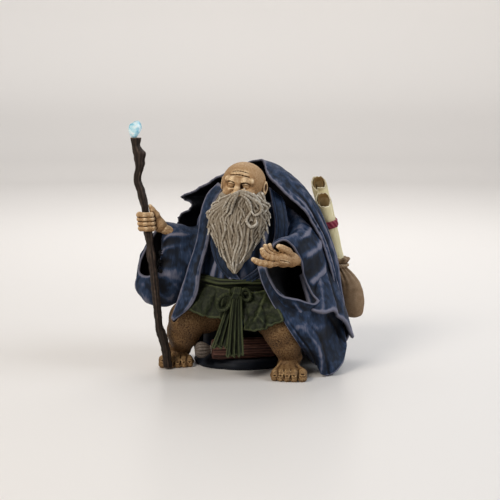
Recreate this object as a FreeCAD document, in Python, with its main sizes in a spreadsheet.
"""A seated sage with a staff: a cast and painted table figure, in millimetres.

The origin is on the floor under the middle of the seat. X runs to the sack side, Y to the
back and Z up. A sculpted figure has proportions, not drawings, so its places are shares of
three sizes: its width, its depth and its height. A share of 0.46 in X is 46 mm on the
figure at its own size. Pins, gaps, cloth and turned things have sizes of their own.
"""
import FreeCAD, Part
import math
import os
from FreeCAD import Placement, Rotation, Vector
from functools import lru_cache

SIZES = {
    "sculpt_width": 100,  # from the middle of the seat to the outer side of the sack
    "sculpt_depth": 100,  # from the front toes to the back of the seat
    "sculpt_height": 100,  # from the floor to the fingers of the open hand
    "seat_gap": 0.3,  # glue gap between castings
    "cloth_wall": 2.2,  # cape, sleeves and coat
    "band_wall": 1.5,  # neck bands of the robe
    "kilt_wall": 2.4,
    "sash_wall": 4,
    "sash_height": 10,
    "knot_width": 10,
    "knot_height": 8.4,
    "bow_width": 11,
    "bow_thickness": 3.2,
    "leg_thickness": 15,  # radius of the knee
    "toe_thickness": 3.1,  # radius of a middle toe
    "finger_thickness": 2.3,  # radius of a finger
    "arm_thickness": 5.5,  # radius of a forearm
    "staff_thickness": 3.4,  # radius of the staff
    "crystal_thickness": 5.8,
    "crystal_length": 13,
    "scroll_diameter": 13.4,
    "scroll_length": 60,
    "scroll_paper": 1.6,
    "scroll_band_width": 6,
    "scroll_band_wall": 1.4,
    "pouch_cord_thickness": 1.3,
    "pouch_ruffle_width": 18,
    "pouch_ruffle_height": 8,
    "roll_diameter": 17,
    "roll_length": 52,
    "roll_end_length": 14,
    "train_height": 8,
    "train_rim": 3.6,
    "pin_play": 0.15,
    "neck_pin_diameter": 6,
    "neck_pin_length": 18,
    "waist_pin_diameter": 10,
    "waist_pin_length": 24,
    "small_pin_diameter": 3,
    "small_pin_length": 12,
    "hip_pin_diameter": 6,
    "hip_pin_length": 20,
}
SHEET = "Sizes"
RING_POINTS = 12
OFFSET_TOLERANCE = 0.01
WAIST_SHARE = 0.97  # how thick a cone is, of the balls that it joins
UP_SHARE = 0.9  # a rod steeper than this starts its circles from X
UP = Vector(0, 0, 1)

document = FreeCAD.newDocument("SeatedSage")
sheet = document.addObject("Spreadsheet::Sheet", SHEET)
for row_number, (alias, value) in enumerate(SIZES.items(), start=1):
    sheet.set(f"A{row_number}", alias)
    sheet.set(f"B{row_number}", str(value))
    sheet.setAlias(f"B{row_number}", alias)
document.recompute()
nodes = []


def size(alias):
    return float(sheet.get(alias))


def cell(alias, share=1):
    return f"{SHEET}.{alias} * {share}"


def bind(thing, **expressions):
    for path, expression in expressions.items():
        thing.setExpression(path, expression)
    return thing


def seat(thing, x, y, z):
    """Places a thing by shares of the three sculpt sizes, bound to the sheet."""
    thing.setExpression("Placement.Base.x", cell("sculpt_width", x))
    thing.setExpression("Placement.Base.y", cell("sculpt_depth", y))
    thing.setExpression("Placement.Base.z", cell("sculpt_height", z))
    return thing


def at(x, y, z):
    return Vector(x * size("sculpt_width"), y * size("sculpt_depth"), z * size("sculpt_height"))


def keep(thing, label):
    """Makes a finished thing a sub-part under its own name."""
    thing.Label = label
    nodes.append(thing)
    return thing


def keep_shape(shape, label, *pins):
    """A casting cut off level at the floor and drilled for its pins."""
    casting = document.addObject("Part::Feature", label + "_casting")
    casting.Shape = above_floor(shape)
    casting.Placement = Placement()
    return keep_drilled(casting, label, *pins)


def keep_drilled(thing, label, *pins):
    """Drills a socket for each pin: its own size and the play, in the same place."""
    if not pins:
        return keep(thing, label)
    sockets = []
    for index, (diameter, length, x, y, z, *direction) in enumerate(pins):
        socket = rod(f"{label}_socket_{index}", diameter, length, x, y, z, *direction, play=1)
        sockets.append(socket)
    drill = document.addObject("Part::Compound", label + "_sockets")
    drill.Links = sockets
    drilled = document.addObject("Part::Cut", label + "_drilled")
    drilled.Base = thing
    drilled.Tool = drill
    return keep(drilled, label)


def rod(name, diameter, length, x, y, z, direction=(0, 0, 1), play=0):
    """A cylinder centred on a place and bound to the sheet: a steel pin, or its socket with play."""
    thing = document.addObject("Part::Cylinder", name)
    bind(thing, Radius=f"{cell(diameter, 0.5)} + {cell('pin_play', play)}")
    bind(thing, Height=f"{cell(length)} + {cell('pin_play', 2 * play)}")
    turn = Rotation(UP, Vector(*direction))
    half_length = size(length) / 2 + play * size("pin_play")
    thing.Placement = Placement(at(x, y, z) - turn.multVec(UP) * half_length, turn)
    return thing


def above_floor(shape):
    box = shape.BoundBox
    if box.ZMin >= 0:
        return shape
    floor = Part.makeBox(box.XLength, box.YLength, -box.ZMin, Vector(box.XMin, box.YMin, box.ZMin))
    return shape.cut(floor)


def largest(shape):
    """The one solid of a casting after its neighbours are cut out of it."""
    return max(shape.Solids, key=lambda solid: solid.Volume)


def ring(centre, along, across, grow=0.0):
    """A closed smooth oval through points on two half axes."""
    points = []
    for step in range(RING_POINTS):
        turn = 2 * math.pi * step / RING_POINTS
        spoke = along * math.cos(turn) + across * math.sin(turn)
        reach = spoke.Length
        points.append(centre + spoke * ((reach + grow) / reach))
    curve = Part.BSplineCurve()
    curve.interpolate(Points=points, PeriodicFlag=True)
    return Part.Wire([curve.toShape()])


@lru_cache(maxsize=None)
def form(row_shares, grow=0.0):
    """A standing form lofted through level ovals: height, middle x and y, half width, half depth."""
    rings = []
    for index, (z, x, y, half_width, half_depth) in enumerate(row_shares):
        lift = grow * ((index == len(row_shares) - 1) - (index == 0))
        rings.append(ring(at(x, y, z) + UP * lift, at(half_width, 0, 0), at(0, half_depth, 0), grow))
    return Part.makeLoft(rings, True)


@lru_cache(maxsize=None)
def tube(ring_shares, grow=0.0):
    """A form lofted through ovals set at any slant: middle, half axis, other half axis."""
    rings = []
    for middle, along, across in ring_shares:
        rings.append(ring(at(*middle), at(*along), at(*across), grow))
    return Part.makeLoft(rings, True)


def cloth(grid, wall):
    """A sheet of even thickness behind a smooth surface through rows of points, top row first."""
    surface = Part.BSplineSurface()
    surface.interpolate([list(row) for row in grid])
    return surface.toShape().makeOffsetShape(-wall, OFFSET_TOLERANCE, fill=True)


@lru_cache(maxsize=None)
def limb(stations, thickness, grow=0.0):
    """Balls joined by slightly slimmer cones, for sharp bends. A station is x, y, z and a share."""
    pieces = []
    before = None
    for x, y, z, share in stations:
        here = at(x, y, z)
        radius = size(thickness) * share + grow
        pieces.append(Part.makeSphere(radius, here))
        waist = radius * WAIST_SHARE
        if before:
            run = here - before[0]
            if abs(waist - before[1]) < OFFSET_TOLERANCE:
                pieces.append(Part.makeCylinder(waist, run.Length, before[0], run))
            else:
                pieces.append(Part.makeCone(before[1], waist, run.Length, before[0], run))
        before = (here, waist)
    return pieces[0].multiFuse(pieces[1:])


# The rounded end of a rod: how far beyond its last station and how thick, in shares of its radius
END_SHARES = ((0.85, 0.52), (0.5, 0.86))
INNER_SHARE = 0.5  # one more circle stands this far inside, of the radius, and keeps the rod straight


@lru_cache(maxsize=None)
def rounded(stations, thickness, grow=0.0):
    """A smooth rod with rounded ends, through circles. A station is x, y, z and a share."""
    places = [at(*station[:3]) for station in stations]
    radii = [size(thickness) * station[3] + grow for station in stations]
    runs = [(after - before).normalize() for before, after in zip(places, places[1:])]
    rows = []
    for back_share, thick_share in END_SHARES:
        rows.append((places[0] - runs[0] * (radii[0] * back_share), runs[0], radii[0] * thick_share))
    rows.append((places[0], runs[0], radii[0]))
    rows.append((places[0] + runs[0] * (radii[0] * INNER_SHARE), runs[0], radii[0]))
    for place, radius, before, after in zip(places[1:-1], radii[1:-1], runs, runs[1:]):
        rows.append((place, (before + after).normalize(), radius))
    rows.append((places[-1] - runs[-1] * (radii[-1] * INNER_SHARE), runs[-1], radii[-1]))
    rows.append((places[-1], runs[-1], radii[-1]))
    for back_share, thick_share in reversed(END_SHARES):
        rows.append((places[-1] + runs[-1] * (radii[-1] * back_share), runs[-1], radii[-1] * thick_share))
    rings = []
    across = runs[0].cross(UP if abs(runs[0].z) < UP_SHARE else Vector(1, 0, 0))
    for place, run, radius in rows:
        across = (across - run * across.dot(run)).normalize()
        rings.append(ring(place, across * radius, run.cross(across) * radius))
    return Part.makeLoft(rings, True)


# Pins: diameter, length, place in shares, direction
NECK_PIN = ("neck_pin_diameter", "neck_pin_length", 0.03, -0.10, 1.345)
WAIST_PIN = ("waist_pin_diameter", "waist_pin_length", -0.03, 0.0, 0.66)
SEAT_PINS = (
    ("small_pin_diameter", "small_pin_length", -0.18, 0.16, 0.08),
    ("small_pin_diameter", "small_pin_length", 0.14, 0.16, 0.08),
)
HIP_PINS = (
    ("hip_pin_diameter", "hip_pin_length", -0.33, -0.02, 0.44, (-1, -0.7, 0)),
    ("hip_pin_diameter", "hip_pin_length", 0.215, -0.16, 0.42, (0.2, -1, 0)),
)
ANKLE_PINS = (
    ("small_pin_diameter", "small_pin_length", -0.535, 0.0, 0.145),
    ("small_pin_diameter", "small_pin_length", 0.355, -0.42, 0.15),
)

TRAIN_SHARES = (-0.02, 0.06, 0.39, 0.31)
LOWER_SHARES = (
    (0.08, -0.02, 0.15, 0.34, 0.18),
    (0.25, -0.02, 0.14, 0.34, 0.20),
    (0.42, -0.02, 0.07, 0.36, 0.27),
    (0.55, -0.02, 0.01, 0.35, 0.30),
    (0.66, -0.03, -0.04, 0.34, 0.30),
)
UPPER_SHARES = (
    (0.66, -0.03, -0.04, 0.34, 0.30),
    (0.76, -0.03, -0.10, 0.335, 0.295),
    (0.95, 0.0, -0.08, 0.35, 0.29),
    (1.12, 0.02, -0.04, 0.41, 0.27),
    (1.24, 0.03, 0.0, 0.40, 0.24),
    (1.31, 0.035, -0.03, 0.30, 0.20),
    (1.345, 0.035, -0.08, 0.18, 0.15),
)


def robe_body():
    keep_shape(form(LOWER_SHARES), "lower_body", WAIST_PIN, *SEAT_PINS, *HIP_PINS)
    keep_shape(form(UPPER_SHARES), "upper_body", WAIST_PIN, NECK_PIN, *SHOULDER_PINS, *CAPE_PINS)


SHOULDER_PINS = (
    ("hip_pin_diameter", "small_pin_length", -0.375, -0.03, 1.06, (-1, -0.1, 0)),
    ("hip_pin_diameter", "small_pin_length", 0.40, -0.08, 1.06, (1, -0.2, 0)),
)
CAPE_PINS = (
    ("small_pin_diameter", "hip_pin_length", -0.12, 0.255, 1.12, (0, 1, 0)),
    ("small_pin_diameter", "hip_pin_length", 0.18, 0.255, 1.12, (0, 1, 0)),
)


def body_grown(gap):
    """The two body castings with a gap all round, to cut their neighbours with."""
    return (form(LOWER_SHARES, gap), form(UPPER_SHARES, gap))


def robe_train():
    """The robe spread on the floor: an oval pad with a rounded upper edge."""
    x, y, half_width, half_depth = TRAIN_SHARES
    body = document.addObject("PartDesign::Body", "RobeTrain")
    sketch = body.newObject("Sketcher::SketchObject", "TrainOutline")
    sketch.AttachmentSupport = (plane_of(body, "XY_Plane"), [""])
    sketch.MapMode = "FlatFace"
    middle = at(x, y, 0)
    oval = Part.Ellipse(middle, size("sculpt_width") * half_width, size("sculpt_depth") * half_depth)
    sketch.addGeometry(oval, False)
    pad = body.newObject("PartDesign::Pad", "TrainPad")
    pad.Profile = sketch
    bind(pad, Length=cell("train_height"))
    document.recompute()
    rim = body.newObject("PartDesign::Fillet", "TrainRim")
    edges = pad.Shape.Edges
    top_edge = max(range(len(edges)), key=lambda index: edges[index].CenterOfMass.z)
    rim.Base = (pad, [f"Edge{top_edge + 1}"])
    bind(rim, Radius=cell("train_rim"))
    keep_drilled(body, "robe_train", *SEAT_PINS)


def plane_of(body, role):
    return next(plane for plane in body.Origin.OriginFeatures if plane.Role == role)


ROLL_PLACE_SHARES = (-0.27, -0.225, 0.168)
ROLL_DIRECTION = (1, 0.2, 0)


def turned(label, outline, x, y, z, direction):
    """A body turned from a half outline about its own Z axis, laid along a direction."""
    body = document.addObject("PartDesign::Body", label + "_body")
    sketch = body.newObject("Sketcher::SketchObject", label + "_outline")
    sketch.AttachmentSupport = (plane_of(body, "XZ_Plane"), [""])
    sketch.MapMode = "FlatFace"
    points = [Vector(radius, height, 0) for radius, height in outline]
    for start, end in zip(points, points[1:] + points[:1]):
        sketch.addGeometry(Part.LineSegment(start, end), False)
    revolution = body.newObject("PartDesign::Revolution", label + "_turn")
    revolution.Profile = sketch
    revolution.ReferenceAxis = (sketch, ["V_Axis"])
    revolution.Angle = 360
    body.Placement = Placement(at(x, y, z), Rotation(UP, Vector(*direction)))
    return keep(body, label)


# The roll from its axis outwards and back: shares of its radius and of its length
ROLL_SHARES = (
    (0, 0), (0.80, 0), (0.97, 0.06), (1.0, 0.30), (0.97, 0.60), (1.0, 0.90), (0.80, 1.0), (0, 1.0),
)
ROLL_END_SHARES = (
    (0, 0), (0.45, 0), (0.45, 0.15), (0.72, 0.40), (0.80, 0.62), (0.66, 0.85), (0.25, 1.0), (0, 1.0),
)


def bedroll():
    x, y, z = ROLL_PLACE_SHARES
    radius = size("roll_diameter") / 2
    start = size("seat_gap")
    roll = [(across * radius, along * size("roll_length")) for across, along in ROLL_SHARES]
    end = [(across * radius, start + along * size("roll_end_length")) for across, along in ROLL_END_SHARES]
    turned("bedroll", roll, x, y, z, ROLL_DIRECTION)
    turned("bedroll_end", end, x, y, z, [-part for part in ROLL_DIRECTION])


RIGHT_LEG_SHARES = (
    (-0.20, 0.08, 0.43, 1.10),
    (-0.33, -0.05, 0.44, 1.12),
    (-0.46, -0.16, 0.41, 1.03),
    (-0.50, -0.10, 0.29, 0.90),
    (-0.535, 0.0, 0.16, 0.62),
)
LEFT_LEG_SHARES = (
    (0.17, 0.04, 0.42, 1.05),
    (0.23, -0.18, 0.42, 1.06),
    (0.29, -0.44, 0.37, 0.97),
    (0.325, -0.44, 0.27, 0.84),
    (0.355, -0.42, 0.17, 0.62),
)
RIGHT_FOOT_SHARES = (
    (0.19, -0.545, 0.05, 0.09),
    (0.15, -0.545, 0.08, 0.13),
    (0.06, -0.545, 0.095, 0.14),
    (-0.02, -0.55, 0.12, 0.125),
    (-0.09, -0.56, 0.15, 0.10),
)
LEFT_FOOT_SHARES = (
    (-0.24, 0.36, 0.05, 0.09),
    (-0.28, 0.36, 0.08, 0.13),
    (-0.37, 0.355, 0.095, 0.145),
    (-0.46, 0.345, 0.12, 0.125),
    (-0.54, 0.335, 0.15, 0.10),
)
TOE_SPREAD_SHARES = ((-0.40, 1.45), (-0.17, 1.12), (0.02, 1.05), (0.20, 1.0), (0.37, 0.95))


def legs():
    cutters = body_grown(size("seat_gap"))
    rows = (
        ("right_leg", RIGHT_LEG_SHARES, RIGHT_FOOT_SHARES, HIP_PINS[0], ANKLE_PINS[0]),
        ("left_leg", LEFT_LEG_SHARES, LEFT_FOOT_SHARES, HIP_PINS[1], ANKLE_PINS[1]),
    )
    for label, leg_shares, foot_shares, hip_pin, ankle_pin in rows:
        leg = limb(leg_shares, "leg_thickness")
        for cutter in cutters:
            leg = leg.cut(cutter)
        leg = largest(leg.cut(foot_block(foot_shares, size("seat_gap"))))
        keep_shape(leg, label, hip_pin, ankle_pin)


FOOT_MIDDLE_SHARE = 0.46  # middle of a foot's section, of its height
FOOT_RISE_SHARE = 0.54  # half its section: a little of it is below the floor and cut off flat
TOE_ROOT_SHARES = (0.03, 0.50)  # behind the ball of the foot, height of the root
TOE_TIP_SHARES = (0.045, 0.20, 0.9)  # before it, height of the tip, thickness of the tip
TOE_CURVE_SHARE = 0.3  # how far the outer toes stand back


def halved(rows):
    """Rows of numbers with one more row half way between each two."""
    more = [rows[0]]
    for before, after in zip(rows, rows[1:]):
        more.append(tuple((low + high) / 2 for low, high in zip(before, after)))
        more.append(after)
    return more


def foot_block(foot_shares, grow=0.0):
    """The foot behind its toes: ovals across the foot, from the heel to the ball."""
    rings = []
    for y, x, half_width, height in halved(halved(foot_shares)):
        middle = at(x, y, height * FOOT_MIDDLE_SHARE)
        rings.append(ring(middle, at(half_width, 0, 0), at(0, 0, height * FOOT_RISE_SHARE), grow))
    return Part.makeLoft(rings, True)


def foot(label, foot_shares, big_toe_side, ankle_pin):
    y, x, half_width, height = foot_shares[-1]
    root_back, root_rise = TOE_ROOT_SHARES
    tip_out, tip_rise, tip_share = TOE_TIP_SHARES
    block = foot_block(foot_shares)
    for across_share, toe_share in TOE_SPREAD_SHARES:
        toe_x = x - big_toe_side * across_share * 2 * half_width
        curve = abs(across_share) * half_width * TOE_CURVE_SHARE
        root = (toe_x, y + root_back, height * root_rise, toe_share)
        tip = (toe_x, y - tip_out + curve, height * tip_rise, toe_share * tip_share)
        block = block.fuse(rounded((root, tip), "toe_thickness"))
    keep_shape(largest(block), label, ankle_pin)


def feet():
    foot("right_foot", RIGHT_FOOT_SHARES, -1, ANKLE_PINS[0])
    foot("left_foot", LEFT_FOOT_SHARES, 1, ANKLE_PINS[1])


HEAD_SHARES = (
    (1.348, 0.02, -0.12, 0.09, 0.09),
    (1.39, 0.01, -0.20, 0.115, 0.12),
    (1.44, -0.005, -0.26, 0.15, 0.155),
    (1.50, -0.01, -0.275, 0.168, 0.17),
    (1.56, -0.01, -0.27, 0.17, 0.17),
    (1.62, -0.01, -0.265, 0.142, 0.145),
    (1.66, -0.01, -0.26, 0.10, 0.10),
    (1.685, -0.01, -0.26, 0.035, 0.04),
)
BEARD_SHARES = (
    (0.84, -0.08, -0.46, 0.02, 0.02),
    (0.88, -0.08, -0.45, 0.065, 0.045),
    (0.97, -0.07, -0.42, 0.12, 0.07),
    (1.08, -0.06, -0.39, 0.185, 0.085),
    (1.20, -0.055, -0.38, 0.225, 0.095),
    (1.31, -0.05, -0.37, 0.24, 0.10),
    (1.40, -0.025, -0.36, 0.20, 0.10),
    (1.46, -0.01, -0.36, 0.16, 0.09),
)
MOUSTACHE_SHARES = (
    ((-0.05, -0.465, 1.445, 1.0), (-0.11, -0.475, 1.40, 1.2), (-0.165, -0.46, 1.33, 0.6)),
    ((-0.03, -0.465, 1.445, 1.0), (0.05, -0.475, 1.405, 1.2), (0.115, -0.45, 1.335, 0.6)),
)
NOSE_SHARES = ((-0.05, -0.415, 1.545, 0.8), (-0.065, -0.45, 1.475, 1.15))


def moustache_solid(grow=0.0):
    halves = [limb(stations, "finger_thickness", grow) for stations in MOUSTACHE_SHARES]
    return halves[0].fuse(halves[1]).removeSplitter()


def head():
    gap = size("seat_gap")
    nose = limb(NOSE_SHARES, "finger_thickness")
    skull = form(HEAD_SHARES).fuse(nose).cut(moustache_solid(gap))
    keep_shape(largest(skull), "head", NECK_PIN)
    keep_shape(moustache_solid(), "moustache")
    beard = form(BEARD_SHARES)
    beard = beard.cut(form(HEAD_SHARES, gap)).cut(limb(NOSE_SHARES, "finger_thickness", gap))
    beard = beard.cut(moustache_solid(gap))
    for cutter in body_grown(size("band_wall") + 2 * gap):
        beard = beard.cut(cutter)
    keep_shape(largest(beard), "beard")


# Neck bands: inner edge and outer edge, from the neck down to where they cross
LEFT_BAND_SHARES = (
    ((0.19, -0.17, 1.49), (0.29, -0.10, 1.49)),
    ((0.22, -0.24, 1.35), (0.32, -0.20, 1.35)),
    ((0.24, -0.30, 1.20), (0.34, -0.255, 1.19)),
    ((0.22, -0.335, 1.04), (0.32, -0.29, 1.03)),
    ((0.11, -0.385, 0.87), (0.21, -0.355, 0.86)),
    ((-0.05, -0.41, 0.76), (0.05, -0.41, 0.745)),
)
RIGHT_BAND_SHARES = (
    ((-0.24, -0.14, 1.44), (-0.14, -0.20, 1.44)),
    ((-0.27, -0.22, 1.31), (-0.17, -0.265, 1.31)),
    ((-0.28, -0.265, 1.17), (-0.18, -0.305, 1.17)),
    ((-0.27, -0.305, 1.02), (-0.17, -0.34, 1.02)),
    ((-0.22, -0.355, 0.87), (-0.12, -0.39, 0.88)),
)
BAND_CROWN_SHARE = 0.006  # how far the middle of a band stands out


def neck_bands():
    for label, band_shares in (("collar_left", LEFT_BAND_SHARES), ("collar_right", RIGHT_BAND_SHARES)):
        grid = []
        for inner_share, outer_share in band_shares:
            inner = at(*inner_share)
            outer = at(*outer_share)
            middle = (inner + outer) * 0.5 - at(0, BAND_CROWN_SHARE, 0)
            grid.append([inner, middle, outer])
        band = cloth(grid, size("band_wall"))
        for cutter in body_grown(size("seat_gap")):
            band = band.cut(cutter)
        band = band.cut(form(HEAD_SHARES, size("seat_gap"))).cut(sash_solid(size("seat_gap")))
        keep_shape(largest(band), label)


# Sleeves: closed rings of places from the shoulder to the mouth, each from its top to the front
RIGHT_SLEEVE_SHARES = (
    (
        (-0.30, -0.02, 1.22), (-0.30, -0.14, 1.16), (-0.31, -0.20, 1.04), (-0.32, -0.16, 0.92),
        (-0.32, 0.0, 0.88), (-0.31, 0.12, 0.94), (-0.30, 0.16, 1.06), (-0.30, 0.08, 1.18),
    ),
    (
        (-0.41, -0.07, 1.15), (-0.42, -0.17, 1.10), (-0.43, -0.23, 0.95), (-0.44, -0.20, 0.74),
        (-0.45, -0.06, 0.62), (-0.44, 0.08, 0.68), (-0.42, 0.12, 0.90), (-0.41, 0.06, 1.10),
    ),
    (
        (-0.52, -0.10, 1.17), (-0.53, -0.20, 1.11), (-0.56, -0.24, 0.93), (-0.57, -0.23, 0.67),
        (-0.58, -0.09, 0.515), (-0.58, 0.05, 0.60), (-0.56, 0.09, 0.86), (-0.53, 0.01, 1.10),
    ),
    (
        (-0.59, -0.12, 1.19), (-0.60, -0.20, 1.12), (-0.63, -0.23, 0.92), (-0.66, -0.22, 0.68),
        (-0.70, -0.12, 0.50), (-0.73, 0.03, 0.58), (-0.70, 0.07, 0.84), (-0.63, 0.0, 1.10),
    ),
    (
        (-0.63, -0.13, 1.197), (-0.64, -0.205, 1.11), (-0.66, -0.235, 0.91), (-0.71, -0.24, 0.71),
        (-0.81, -0.16, 0.56), (-0.86, -0.03, 0.63), (-0.82, 0.03, 0.86), (-0.73, -0.02, 1.07),
    ),
    (
        (-0.66, -0.14, 1.195), (-0.665, -0.205, 1.08), (-0.675, -0.24, 0.90), (-0.71, -0.245, 0.78),
        (-0.82, -0.19, 0.72), (-0.875, -0.08, 0.76), (-0.855, -0.03, 0.88), (-0.77, -0.05, 1.04),
    ),
)
LEFT_SLEEVE_SHARES = (
    (
        (0.36, -0.04, 1.27), (0.46, 0.0, 1.22), (0.52, 0.04, 1.10), (0.49, 0.04, 0.96),
        (0.38, 0.0, 0.90), (0.28, -0.08, 0.94), (0.26, -0.14, 1.06), (0.28, -0.12, 1.20),
    ),
    (
        (0.44, -0.18, 1.20), (0.56, -0.14, 1.12), (0.62, -0.10, 0.96), (0.61, -0.08, 0.74),
        (0.48, -0.12, 0.64), (0.34, -0.22, 0.70), (0.30, -0.28, 0.88), (0.34, -0.26, 1.08),
    ),
    (
        (0.43, -0.34, 1.155), (0.55, -0.30, 1.07), (0.63, -0.27, 0.87), (0.66, -0.25, 0.63),
        (0.54, -0.30, 0.52), (0.36, -0.38, 0.58), (0.24, -0.42, 0.80), (0.32, -0.40, 1.05),
    ),
    (
        (0.38, -0.48, 1.135), (0.49, -0.42, 1.03), (0.57, -0.38, 0.82), (0.62, -0.38, 0.58),
        (0.50, -0.48, 0.495), (0.32, -0.54, 0.57), (0.17, -0.54, 0.84), (0.24, -0.54, 1.07),
    ),
    (
        (0.31, -0.58, 1.123), (0.43, -0.505, 0.985), (0.495, -0.445, 0.77), (0.51, -0.50, 0.585),
        (0.41, -0.595, 0.58), (0.24, -0.62, 0.655), (0.105, -0.605, 0.88), (0.175, -0.62, 1.09),
    ),
)


@lru_cache(maxsize=None)
def bag(ring_shares, grow=0.0, reach=0.0):
    """A form lofted through closed rings of places, each laid flat, that can reach past its mouth."""
    rings = []
    middles = []
    for places in ring_shares:
        points = [at(*place) for place in places]
        middle = sum(points, Vector()) * (1 / len(points))
        spokes = [point - middle for point in points]
        normal = Vector()
        for spoke, following in zip(spokes, spokes[1:] + spokes[:1]):
            normal += spoke.cross(following)
        normal.normalize()
        flat = [spoke - normal * spoke.dot(normal) for spoke in spokes]
        curve = Part.BSplineCurve()
        spread = [middle + spoke * ((spoke.Length + grow) / spoke.Length) for spoke in flat]
        curve.interpolate(Points=spread, PeriodicFlag=True)
        rings.append(Part.Wire([curve.toShape()]))
        middles.append(middle)
    if reach:
        beyond = rings[-1].copy()
        beyond.translate((middles[-1] - middles[-2]).normalize() * reach)
        rings.append(beyond)
    return Part.makeLoft(rings, True)


def sleeve(label, ring_shares, room_shares, shoulder_pin, arm_shares, extra_cutters):
    """A cloth bag, hollow from the room's plane to its mouth, with its arm cut out."""
    outside = bag(ring_shares)
    inside = bag(ring_shares, -size("cloth_wall"), size("cloth_wall"))
    corner_shares, reach_shares = room_shares
    room = Part.makeBox(*at(*reach_shares), at(*corner_shares))
    shell = outside.cut(inside.common(room))
    for cutter in body_grown(size("seat_gap")) + extra_cutters:
        shell = shell.cut(cutter)
    shell = shell.cut(rounded(arm_shares, "arm_thickness", size("seat_gap")))
    keep_shape(largest(shell), label, shoulder_pin)


RIGHT_ARM_SHARES = ((-0.50, -0.10, 1.05, 1.05), (-0.57, -0.145, 1.095, 0.9), (-0.645, -0.19, 1.145, 0.72))
LEFT_ARM_SHARES = ((0.50, -0.20, 0.90, 1.2), (0.45, -0.36, 0.93, 1.0), (0.40, -0.46, 0.935, 0.60))
RIGHT_ROOM_SHARES = ((-1.2, -0.6, 0.0), (0.74, 1.0, 1.6))
LEFT_ROOM_SHARES = ((0.0, -0.9, 0.0), (1.0, 0.64, 1.6))


def sleeves():
    gap = size("seat_gap")
    belt = sash_solid(gap)
    left_leg = limb(LEFT_LEG_SHARES, "leg_thickness", gap)
    right_palm = rounded(RIGHT_PALM_SHARES, "finger_thickness", gap)
    left_palm = rounded(LEFT_PALM_SHARES, "finger_thickness", gap)
    rows = (
        ("right_sleeve", RIGHT_SLEEVE_SHARES, RIGHT_ROOM_SHARES, RIGHT_ARM_SHARES, (right_palm, belt)),
        ("left_sleeve", LEFT_SLEEVE_SHARES, LEFT_ROOM_SHARES, LEFT_ARM_SHARES, (left_palm, left_leg, belt)),
    )
    for (label, ring_shares, room_shares, arm_shares, cutters), pin in zip(rows, SHOULDER_PINS):
        sleeve(label, ring_shares, room_shares, pin, arm_shares, cutters)


STAFF_SHARES = (
    (-0.626, -0.20, 0.0, 0.90),
    (-0.64, -0.22, 0.16, 1.0),
    (-0.67, -0.26, 0.31, 1.12),
    (-0.686, -0.285, 0.39, 0.95),
    (-0.70, -0.315, 0.57, 0.92),
    (-0.72, -0.31, 0.78, 0.88),
    (-0.756, -0.27, 1.045, 0.95),
    (-0.78, -0.24, 1.205, 0.98),
    (-0.81, -0.24, 1.34, 0.92),
    (-0.85, -0.24, 1.50, 0.90),
    (-0.85, -0.24, 1.60, 0.95),
    (-0.845, -0.24, 1.71, 1.35),
    (-0.855, -0.24, 1.80, 0.95),
    (-0.865, -0.24, 1.86, 1.10),
)
RIGHT_PALM_SHARES = ((-0.655, -0.195, 1.15, 1.6), (-0.70, -0.205, 1.19, 2.2), (-0.715, -0.20, 1.23, 1.9))
RIGHT_THUMB_SHARES = ((-0.705, -0.22, 1.23, 1.2), (-0.725, -0.235, 1.275, 1.05), (-0.74, -0.23, 1.32, 0.85))
FIST_TURNS = (20, -40, -95, -150, -200, -235)  # degrees round the staff, from knuckle to finger tip
FIST_LEVEL_SHARES = (1.165, 1.20, 1.235, 1.27)
GRIP_SHARE = 0.9  # how far a finger's middle stands off the staff, of its thickness
LEFT_PALM_SHARES = ((0.385, -0.50, 0.935, 1.95), (0.32, -0.59, 0.955, 2.4), (0.25, -0.65, 0.965, 2.3))
LEFT_FINGER_SHARES = (
    ((0.24, -0.68, 0.95, 1.05), (0.14, -0.71, 0.945, 0.95), (0.06, -0.72, 0.975, 0.75)),
    ((0.23, -0.665, 0.97, 1.05), (0.15, -0.685, 0.985, 0.95), (0.09, -0.69, 1.02, 0.75)),
    ((0.235, -0.645, 0.985, 1.05), (0.17, -0.65, 1.01, 0.95), (0.125, -0.65, 1.05, 0.75)),
    ((0.25, -0.625, 0.99, 1.0), (0.21, -0.62, 1.02, 0.9), (0.18, -0.615, 1.06, 0.7)),
    ((0.31, -0.62, 0.98, 1.3), (0.28, -0.66, 1.02, 1.1), (0.26, -0.68, 1.055, 0.85)),
)
CRYSTAL_SHARES = (
    (0.0, 0.62),
    (0.30, 1.0),
    (0.70, 0.95),
    (1.0, 0.35),
)
WRIST_PINS = (
    ("small_pin_diameter", "small_pin_length", -0.645, -0.19, 1.145, (-1, -0.35, 0.5)),
    ("small_pin_diameter", "small_pin_length", 0.395, -0.475, 0.935, (-0.6, -1, 0)),
)
CRYSTAL_PIN = ("small_pin_diameter", "small_pin_length", -0.865, -0.24, 1.86)


def staff_middle(level_share):
    """Where the staff stands at a level, in shares."""
    for low, high in zip(STAFF_SHARES, STAFF_SHARES[1:]):
        if low[2] <= level_share <= high[2]:
            rise = (level_share - low[2]) / (high[2] - low[2])
            return (low[0] + (high[0] - low[0]) * rise, low[1] + (high[1] - low[1]) * rise)


def right_fist():
    """Palm, thumb and four fingers that close round the staff on its own radius."""
    reach = size("staff_thickness") + size("finger_thickness") * GRIP_SHARE
    fist = rounded(RIGHT_PALM_SHARES, "finger_thickness")
    fist = fist.fuse(rounded(RIGHT_THUMB_SHARES, "finger_thickness"))
    for level_share in FIST_LEVEL_SHARES:
        x, y = staff_middle(level_share)
        stations = []
        for turn in FIST_TURNS:
            out = math.cos(math.radians(turn)) * reach / size("sculpt_width")
            back = math.sin(math.radians(turn)) * reach / size("sculpt_depth")
            stations.append((x + out, y + back, level_share, 1.0))
        fist = fist.fuse(rounded(tuple(stations), "finger_thickness"))
    return fist.cut(rounded(STAFF_SHARES, "staff_thickness", size("pin_play")))


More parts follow.
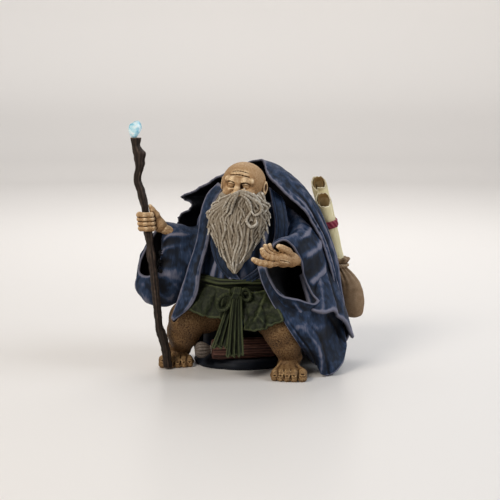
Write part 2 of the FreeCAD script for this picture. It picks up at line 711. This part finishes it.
def arms_and_hands():
    gap = size("seat_gap")
    palm = rounded(LEFT_PALM_SHARES, "finger_thickness")
    for stations in LEFT_FINGER_SHARES:
        palm = palm.fuse(rounded(stations, "finger_thickness"))
    rows = (
        ("right_hand", "right_forearm", right_fist(), RIGHT_ARM_SHARES, WRIST_PINS[0]),
        ("left_hand", "left_forearm", palm, LEFT_ARM_SHARES, WRIST_PINS[1]),
    )
    for hand_label, arm_label, hand, arm_shares, wrist_pin in rows:
        arm = rounded(arm_shares, "arm_thickness")
        hand = largest(hand.cut(rounded(arm_shares, "arm_thickness", gap)))
        keep_shape(hand, hand_label, wrist_pin)
        keep_shape(arm, arm_label, wrist_pin)


CRYSTAL_CORNERS = 6
CRYSTAL_TWIST = 30


def staff_and_crystal():
    staff = rounded(STAFF_SHARES, "staff_thickness")
    x, y, z, top_share = STAFF_SHARES[-1]
    top = at(x, y, z)
    reach = size("crystal_length")
    wide = size("crystal_thickness")
    room = Part.makeBox(2 * wide, 2 * wide, reach, top - Vector(wide, wide, 0))
    keep_shape(staff.cut(room), "staff", CRYSTAL_PIN)
    rings = []
    for height_share, width_share in CRYSTAL_SHARES:
        corners = []
        for corner in range(CRYSTAL_CORNERS):
            turn = math.radians(360 * corner / CRYSTAL_CORNERS + CRYSTAL_TWIST * height_share)
            spoke = Vector(math.cos(turn), math.sin(turn), 0) * (wide * width_share)
            corners.append(top + spoke + UP * (reach * height_share))
        rings.append(Part.makePolygon(corners + corners[:1]))
    keep_shape(Part.makeLoft(rings, True, True), "crystal", CRYSTAL_PIN)


# The cape: height, middle x, middle y, half width, half depth, first and last angle of the rim
CAPE_SHARES = (
    (1.69, 0.065, 0.08, 0.095, 0.05, -20, 184),
    (1.645, 0.055, 0.08, 0.215, 0.12, -42, 184),
    (1.56, 0.05, 0.09, 0.33, 0.20, -48, 184),
    (1.47, 0.025, 0.09, 0.455, 0.25, -41, 184),
    (1.375, 0.005, 0.09, 0.54, 0.27, -33, 184),
    (1.28, 0.07, 0.08, 0.51, 0.30, -25, 180),
    (1.18, 0.03, 0.06, 0.58, 0.34, -13, 176),
    (1.05, 0.075, 0.05, 0.60, 0.37, -9, 174),
    (0.88, 0.10, 0.05, 0.63, 0.40, -8, 172),
    (0.66, 0.14, 0.05, 0.62, 0.43, -8, 168),
    (0.45, 0.165, 0.05, 0.62, 0.47, -8, 164),
    (0.30, 0.20, 0.055, 0.66, 0.495, -8, 162),
    (0.15, 0.19, 0.065, 0.65, 0.515, -8, 162),
    (-0.006, 0.16, 0.08, 0.62, 0.51, -6, 162),
)
CAPE_STEPS = 16
CAPE_FOLDS = 9
CAPE_FOLD_SHARE = 0.035
HOOD_START_SHARE = 1.28


def cape_row(row_shares):
    """Places along one level of the cape, with folds that deepen towards the hem."""
    z, x, y, half_width, half_depth, first, last = row_shares
    fold_depth = CAPE_FOLD_SHARE * max(0, 1 - z / HOOD_START_SHARE)
    points = []
    for step in range(CAPE_STEPS + 1):
        turn = math.radians(first + (last - first) * step / CAPE_STEPS)
        swell = 1 + fold_depth * math.cos(CAPE_FOLDS * turn)
        across = half_width * swell * math.cos(turn)
        back = half_depth * swell * math.sin(turn)
        points.append(at(x + across, y + back, z))
    return points


def cape():
    rows = [cape_row(row_shares) for row_shares in CAPE_SHARES]
    keep_shape(cloth(rows, size("cloth_wall")), "cape", POUCH_PIN, *CAPE_PINS)


# Coat fronts: rows from the shoulder down, places across each row
RIGHT_COAT_SHARES = (
    ((-0.38, -0.06, 1.38), (-0.33, -0.135, 1.435), (-0.27, -0.19, 1.47)),
    ((-0.44, -0.14, 1.24), (-0.388, -0.21, 1.265), (-0.325, -0.245, 1.28)),
    ((-0.455, -0.20, 1.04), (-0.41, -0.27, 1.04), (-0.35, -0.305, 1.03)),
    ((-0.52, -0.26, 0.82), (-0.478, -0.325, 0.81), (-0.415, -0.355, 0.80)),
    ((-0.57, -0.32, 0.62), (-0.54, -0.373, 0.60), (-0.485, -0.395, 0.59)),
    ((-0.595, -0.36, 0.45), (-0.585, -0.383, 0.435), (-0.57, -0.392, 0.425)),
)
LEFT_COAT_SHARES = (
    (
        (0.10, -0.46, 0.88), (0.17, -0.475, 0.87), (0.30, -0.45, 0.86),
        (0.45, -0.38, 0.86), (0.60, -0.28, 0.87), (0.71, -0.16, 0.88),
    ),
    (
        (0.14, -0.49, 0.76), (0.21, -0.505, 0.75), (0.34, -0.49, 0.74),
        (0.50, -0.42, 0.74), (0.64, -0.29, 0.75), (0.735, -0.14, 0.76),
    ),
    (
        (0.20, -0.53, 0.63), (0.28, -0.55, 0.61), (0.40, -0.54, 0.60),
        (0.55, -0.46, 0.60), (0.68, -0.31, 0.62), (0.75, -0.13, 0.64),
    ),
    (
        (0.29, -0.60, 0.49), (0.37, -0.61, 0.46), (0.48, -0.57, 0.45),
        (0.61, -0.45, 0.47), (0.72, -0.30, 0.50), (0.77, -0.13, 0.52),
    ),
    (
        (0.39, -0.59, 0.33), (0.47, -0.58, 0.30), (0.56, -0.52, 0.29),
        (0.66, -0.41, 0.31), (0.77, -0.27, 0.34), (0.83, -0.13, 0.36),
    ),
    (
        (0.45, -0.50, 0.23), (0.53, -0.48, 0.18), (0.61, -0.44, 0.15),
        (0.71, -0.36, 0.16), (0.81, -0.24, 0.20), (0.86, -0.13, 0.24),
    ),
    (
        (0.505, -0.41, 0.145), (0.57, -0.42, 0.06), (0.65, -0.41, 0.01),
        (0.76, -0.35, 0.006), (0.85, -0.24, 0.07), (0.88, -0.13, 0.15),
    ),
)


def coat_fronts():
    gap = size("seat_gap")
    right = cloth([[at(*place) for place in row] for row in RIGHT_COAT_SHARES], size("cloth_wall"))
    left = cloth([[at(*place) for place in row] for row in LEFT_COAT_SHARES], size("cloth_wall"))
    for cutter in body_grown(gap):
        right = right.cut(cutter)
        left = left.cut(cutter)
    right = right.cut(bag(RIGHT_SLEEVE_SHARES, gap))
    right = right.cut(limb(RIGHT_LEG_SHARES, "leg_thickness", gap))
    left = left.cut(bag(LEFT_SLEEVE_SHARES, gap))
    left = left.cut(limb(LEFT_LEG_SHARES, "leg_thickness", gap))
    keep_shape(largest(right), "coat_front_right")
    keep_shape(largest(left), "coat_front_left")


KILT_RIGHT_SHARES = (
    ((-0.35, -0.25, 0.71), (-0.25, -0.33, 0.70), (-0.15, -0.375, 0.68)),
    ((-0.40, -0.31, 0.61), (-0.28, -0.37, 0.59), (-0.16, -0.405, 0.57)),
    ((-0.46, -0.33, 0.53), (-0.31, -0.39, 0.48), (-0.17, -0.43, 0.47)),
)
KILT_LEFT_SHARES = (
    ((0.02, -0.41, 0.64), (0.10, -0.395, 0.655), (0.18, -0.37, 0.67)),
    ((0.05, -0.50, 0.52), (0.13, -0.53, 0.55), (0.22, -0.535, 0.58)),
    ((0.09, -0.61, 0.38), (0.18, -0.63, 0.40), (0.275, -0.63, 0.45)),
)


def kilt():
    gap = size("seat_gap")
    rows = (
        ("kilt_right", KILT_RIGHT_SHARES, RIGHT_LEG_SHARES),
        ("kilt_left", KILT_LEFT_SHARES, LEFT_LEG_SHARES),
    )
    for label, places, leg_shares in rows:
        flap = cloth([[at(*place) for place in row] for row in places], size("kilt_wall"))
        flap = flap.cut(limb(leg_shares, "leg_thickness", gap))
        for cutter in body_grown(gap):
            flap = flap.cut(cutter)
        flap = flap.cut(sash_solid(gap)).cut(bag(LEFT_SLEEVE_SHARES, gap))
        keep_shape(largest(flap), label)


SASH_SLOPE = 8
SASH_MIDDLE_SHARES = (-0.03, -0.05, 0.765)


def sash_solid(grow=0.0):
    """A belt: the body with a wall all round, kept between two sloping planes."""
    thick = size("sash_height") + 2 * grow
    reach = size("sculpt_width")
    slope = Rotation(Vector(1, 0, 0), SASH_SLOPE)
    corner = at(*SASH_MIDDLE_SHARES) + slope.multVec(Vector(-reach / 2, -reach / 2, -thick / 2))
    slab = Part.makeBox(reach, reach, thick)
    slab.Placement = Placement(corner, slope)
    belt = form(UPPER_SHARES, size("sash_wall") + grow).fuse(form(LOWER_SHARES, size("sash_wall") + grow))
    return belt.common(slab)


BOW_PLACE_SHARES = ((-0.16, -0.488, 0.605, 1.0), (0.01, -0.462, 0.665, 0.7))
KNOT_SHARES = (-0.07, -0.455, 0.68)
TAIL_RIGHT_SHARES = (
    ((-0.095, -0.445, 0.64), (0.028, 0, 0), (0, 0.014, 0)),
    ((-0.12, -0.455, 0.52), (0.042, 0, 0), (0, 0.017, 0)),
    ((-0.165, -0.51, 0.39), (0.058, 0, 0), (0, 0.018, 0)),
    ((-0.205, -0.56, 0.26), (0.075, 0, -0.01), (0, 0.016, 0)),
)
TAIL_LEFT_SHARES = (
    ((-0.05, -0.495, 0.655), (0.028, 0, 0), (0, 0.014, 0)),
    ((-0.05, -0.515, 0.52), (0.04, 0, 0), (0, 0.018, 0)),
    ((-0.055, -0.565, 0.36), (0.053, 0, 0), (0, 0.018, 0)),
    ((-0.06, -0.60, 0.19), (0.07, 0, -0.01), (0, 0.016, 0)),
)


def sash():
    gap = size("seat_gap")
    belt = sash_solid()
    for cutter in body_grown(gap):
        belt = belt.cut(cutter)
    x, y, z = KNOT_SHARES
    knot = document.addObject("Part::Ellipsoid", "Knot")
    bind(knot, Radius1=cell("knot_height", 0.5), Radius2=cell("knot_width", 0.5))
    bind(knot, Radius3=cell("knot_height", 0.5))
    seat(knot, x, y, z)
    document.recompute()
    knot_grown = Part.makeSphere(size("knot_width") / 2 + gap, at(x, y, z))
    keep_shape(largest(belt.cut(knot_grown)), "sash")
    keep(knot, "sash_knot")
    loops = []
    for x, y, z, share in BOW_PLACE_SHARES:
        wide = size("bow_width") / 2 * share
        loop = Part.makeTorus(wide, size("bow_thickness") / 2, at(x, y, z), Vector(0, 1, 0))
        loops.append(loop)
    bow = loops[0].fuse(loops[1]).cut(knot_grown).cut(sash_solid(gap))
    keep_shape(bow, "sash_bow")
    for label, shares in (("sash_tail_right", TAIL_RIGHT_SHARES), ("sash_tail_left", TAIL_LEFT_SHARES)):
        tail = tube(shares).cut(knot_grown)
        keep_shape(largest(tail), label)


SCROLL_FOOT_SHARES = (0.77, 0.235, 0.815)
SCROLL_TOP_SHARES = (0.635, 0.195, 1.40)
POUCH_SHARES = (
    (0.335, 0.91, 0.265, 0.05, 0.06),
    (0.38, 0.90, 0.265, 0.095, 0.10),
    (0.45, 0.89, 0.265, 0.12, 0.12),
    (0.54, 0.88, 0.265, 0.125, 0.12),
    (0.64, 0.86, 0.26, 0.11, 0.11),
    (0.73, 0.82, 0.25, 0.075, 0.085),
    (0.775, 0.795, 0.245, 0.055, 0.055),
)
POUCH_PIN = ("small_pin_diameter", "small_pin_length", 0.735, 0.265, 0.55, (1, 0, 0))
RUFFLE_SHARES = ((0.0, 0.55), (0.3, 0.65), (0.8, 1.0), (1.0, 0.9))


def scroll_axis():
    axis = at(*SCROLL_TOP_SHARES) - at(*SCROLL_FOOT_SHARES)
    axis.normalize()
    return axis


SCROLL_OPEN_SHARE = 0.5  # how deep the outer turn is open, of the length
SCROLL_CORE_SHARE = 0.3  # how deep the inner turn is open
REAR_LIFT_SHARE = 0.22  # how much higher the rear scroll stands


def scroll_step():
    """From the front scroll back to the rear one, which it touches but for the gap."""
    return Vector(0, size("scroll_diameter") + size("seat_gap"), 0)


# Turns of the rolled sheet: depth under the outside, in paper thicknesses
INNER_TURN = 2
CORE_TURN = 3
WEB_TURN = 2.5


def scroll_foot(name):
    place = at(*SCROLL_FOOT_SHARES)
    if name == "rear_scroll":
        place += scroll_step() + scroll_axis() * (size("scroll_length") * REAR_LIFT_SHARE)
    return place


def scroll_solid(name, grow=0.0):
    radius = size("scroll_diameter") / 2 + grow
    return Part.makeCylinder(radius, size("scroll_length"), scroll_foot(name), scroll_axis())


def scrolls():
    """Two rolled sheets: an outer turn, a gap and an inner turn, joined along one side."""
    axis = scroll_axis()
    radius = size("scroll_diameter") / 2
    paper = size("scroll_paper")
    length = size("scroll_length")
    open_length = length * SCROLL_OPEN_SHARE
    core_length = length * SCROLL_CORE_SHARE
    for name in ("front_scroll", "rear_scroll"):
        foot_place = scroll_foot(name)
        mouth = foot_place + axis * (length - open_length)
        core_mouth = foot_place + axis * (length - core_length)
        hollow = Part.makeCylinder(radius - paper, open_length, mouth, axis)
        inner = Part.makeCylinder(radius - INNER_TURN * paper, open_length, mouth, axis)
        core = Part.makeCylinder(radius - CORE_TURN * paper, core_length, core_mouth, axis)
        web = Part.makeBox(paper, INNER_TURN * paper, open_length)
        web.Placement = Placement(mouth, Rotation(UP, axis)).multiply(
            Placement(Vector(0, radius - WEB_TURN * paper, 0), Rotation())
        )
        rolled = scroll_solid(name).cut(hollow).fuse(inner.cut(core)).fuse(web)
        keep_shape(largest(rolled.removeSplitter()), name)


def scroll_band():
    """One flat band round both scrolls, with straight runs from one to the other."""
    axis = scroll_axis()
    fit = size("seat_gap") / 2
    step = scroll_step()
    reach = size("scroll_diameter") / 2 + size("scroll_band_wall")
    wide = size("scroll_band_width")
    place = at(*SCROLL_FOOT_SHARES) + axis * (size("scroll_length") / 2)
    link = Part.makeBox(2 * reach, step.Length, wide)
    aside = Placement(Vector(-reach, 0, 0), Rotation())
    link.Placement = Placement(place, Rotation(UP, axis)).multiply(aside)
    band = Part.makeCylinder(reach, wide, place, axis)
    band = band.fuse(Part.makeCylinder(reach, wide, place + step, axis)).fuse(link)
    for name in ("front_scroll", "rear_scroll"):
        band = band.cut(scroll_solid(name, fit))
    keep_shape(largest(band.removeSplitter()), "scroll_band")


def pouch():
    gap = size("seat_gap")
    front = scroll_solid("front_scroll", gap)
    keep_shape(largest(form(POUCH_SHARES).cut(front)), "pouch", POUCH_PIN)
    z, x, y, half_width, half_depth = POUCH_SHARES[-1]
    neck = at(x, y, z)
    rings = []
    for height_share, spread_share in RUFFLE_SHARES:
        middle = neck + UP * (height_share * size("pouch_ruffle_height"))
        spread = size("pouch_ruffle_width") / 2 * spread_share
        rings.append(ring(middle, Vector(spread, 0, 0), Vector(0, spread, 0)))
    keep_shape(largest(Part.makeLoft(rings, True).cut(front)), "pouch_ruffle")
    cord = document.addObject("Part::Torus", "PouchCord")
    thickness = cell("pouch_cord_thickness")
    bind(cord, Radius1=f"{cell('sculpt_width', half_width)} + {thickness} + {cell('seat_gap')}")
    bind(cord, Radius2=thickness)
    seat(cord, x, y, z)
    cord.setExpression("Placement.Base.z", f"{cell('sculpt_height', z)} + {thickness}")
    keep(cord, "pouch_cord")


def pins():
    keep(rod("NeckPin", *NECK_PIN), "neck_pin")
    keep(rod("WaistPin", *WAIST_PIN), "waist_pin")
    keep(rod("CrystalPin", *CRYSTAL_PIN), "crystal_pin")
    keep(rod("PouchPin", *POUCH_PIN), "pouch_pin")
    groups = (
        ("seat_pins", SEAT_PINS),
        ("hip_pins", HIP_PINS),
        ("ankle_pins", ANKLE_PINS),
        ("shoulder_pins", SHOULDER_PINS),
        ("wrist_pins", WRIST_PINS),
        ("cape_pins", CAPE_PINS),
    )
    for label, rows in groups:
        group = document.addObject("Part::Compound", label + "_group")
        group.Links = [rod(f"{label}_{index}", *row) for index, row in enumerate(rows)]
        keep(group, label)


robe_body()
robe_train()
bedroll()
legs()
feet()
head()
neck_bands()
sleeves()
arms_and_hands()
staff_and_crystal()
cape()
coat_fronts()
kilt()
sash()
scrolls()
scroll_band()
pouch()
pins()
document.recompute()

faults = []
for thing in document.Objects:
    if "Invalid" in thing.State or "Error" in thing.State:
        faults.append(f"{thing.Label}: {thing.State}")
for node in nodes:
    shape = node.Shape
    if shape.isNull() or not shape.isValid() or not shape.Solids:
        faults.append(f"{node.Label}: bad shape")
if faults:
    raise RuntimeError("; ".join(faults))

os.makedirs("parts", exist_ok=True)
for node in nodes:
    node.Shape.exportStep(f"parts/{node.Label}.step")
    print(f"{node.Label}: {len(node.Shape.Solids)} solid, {node.Shape.Volume:.0f} mm3")
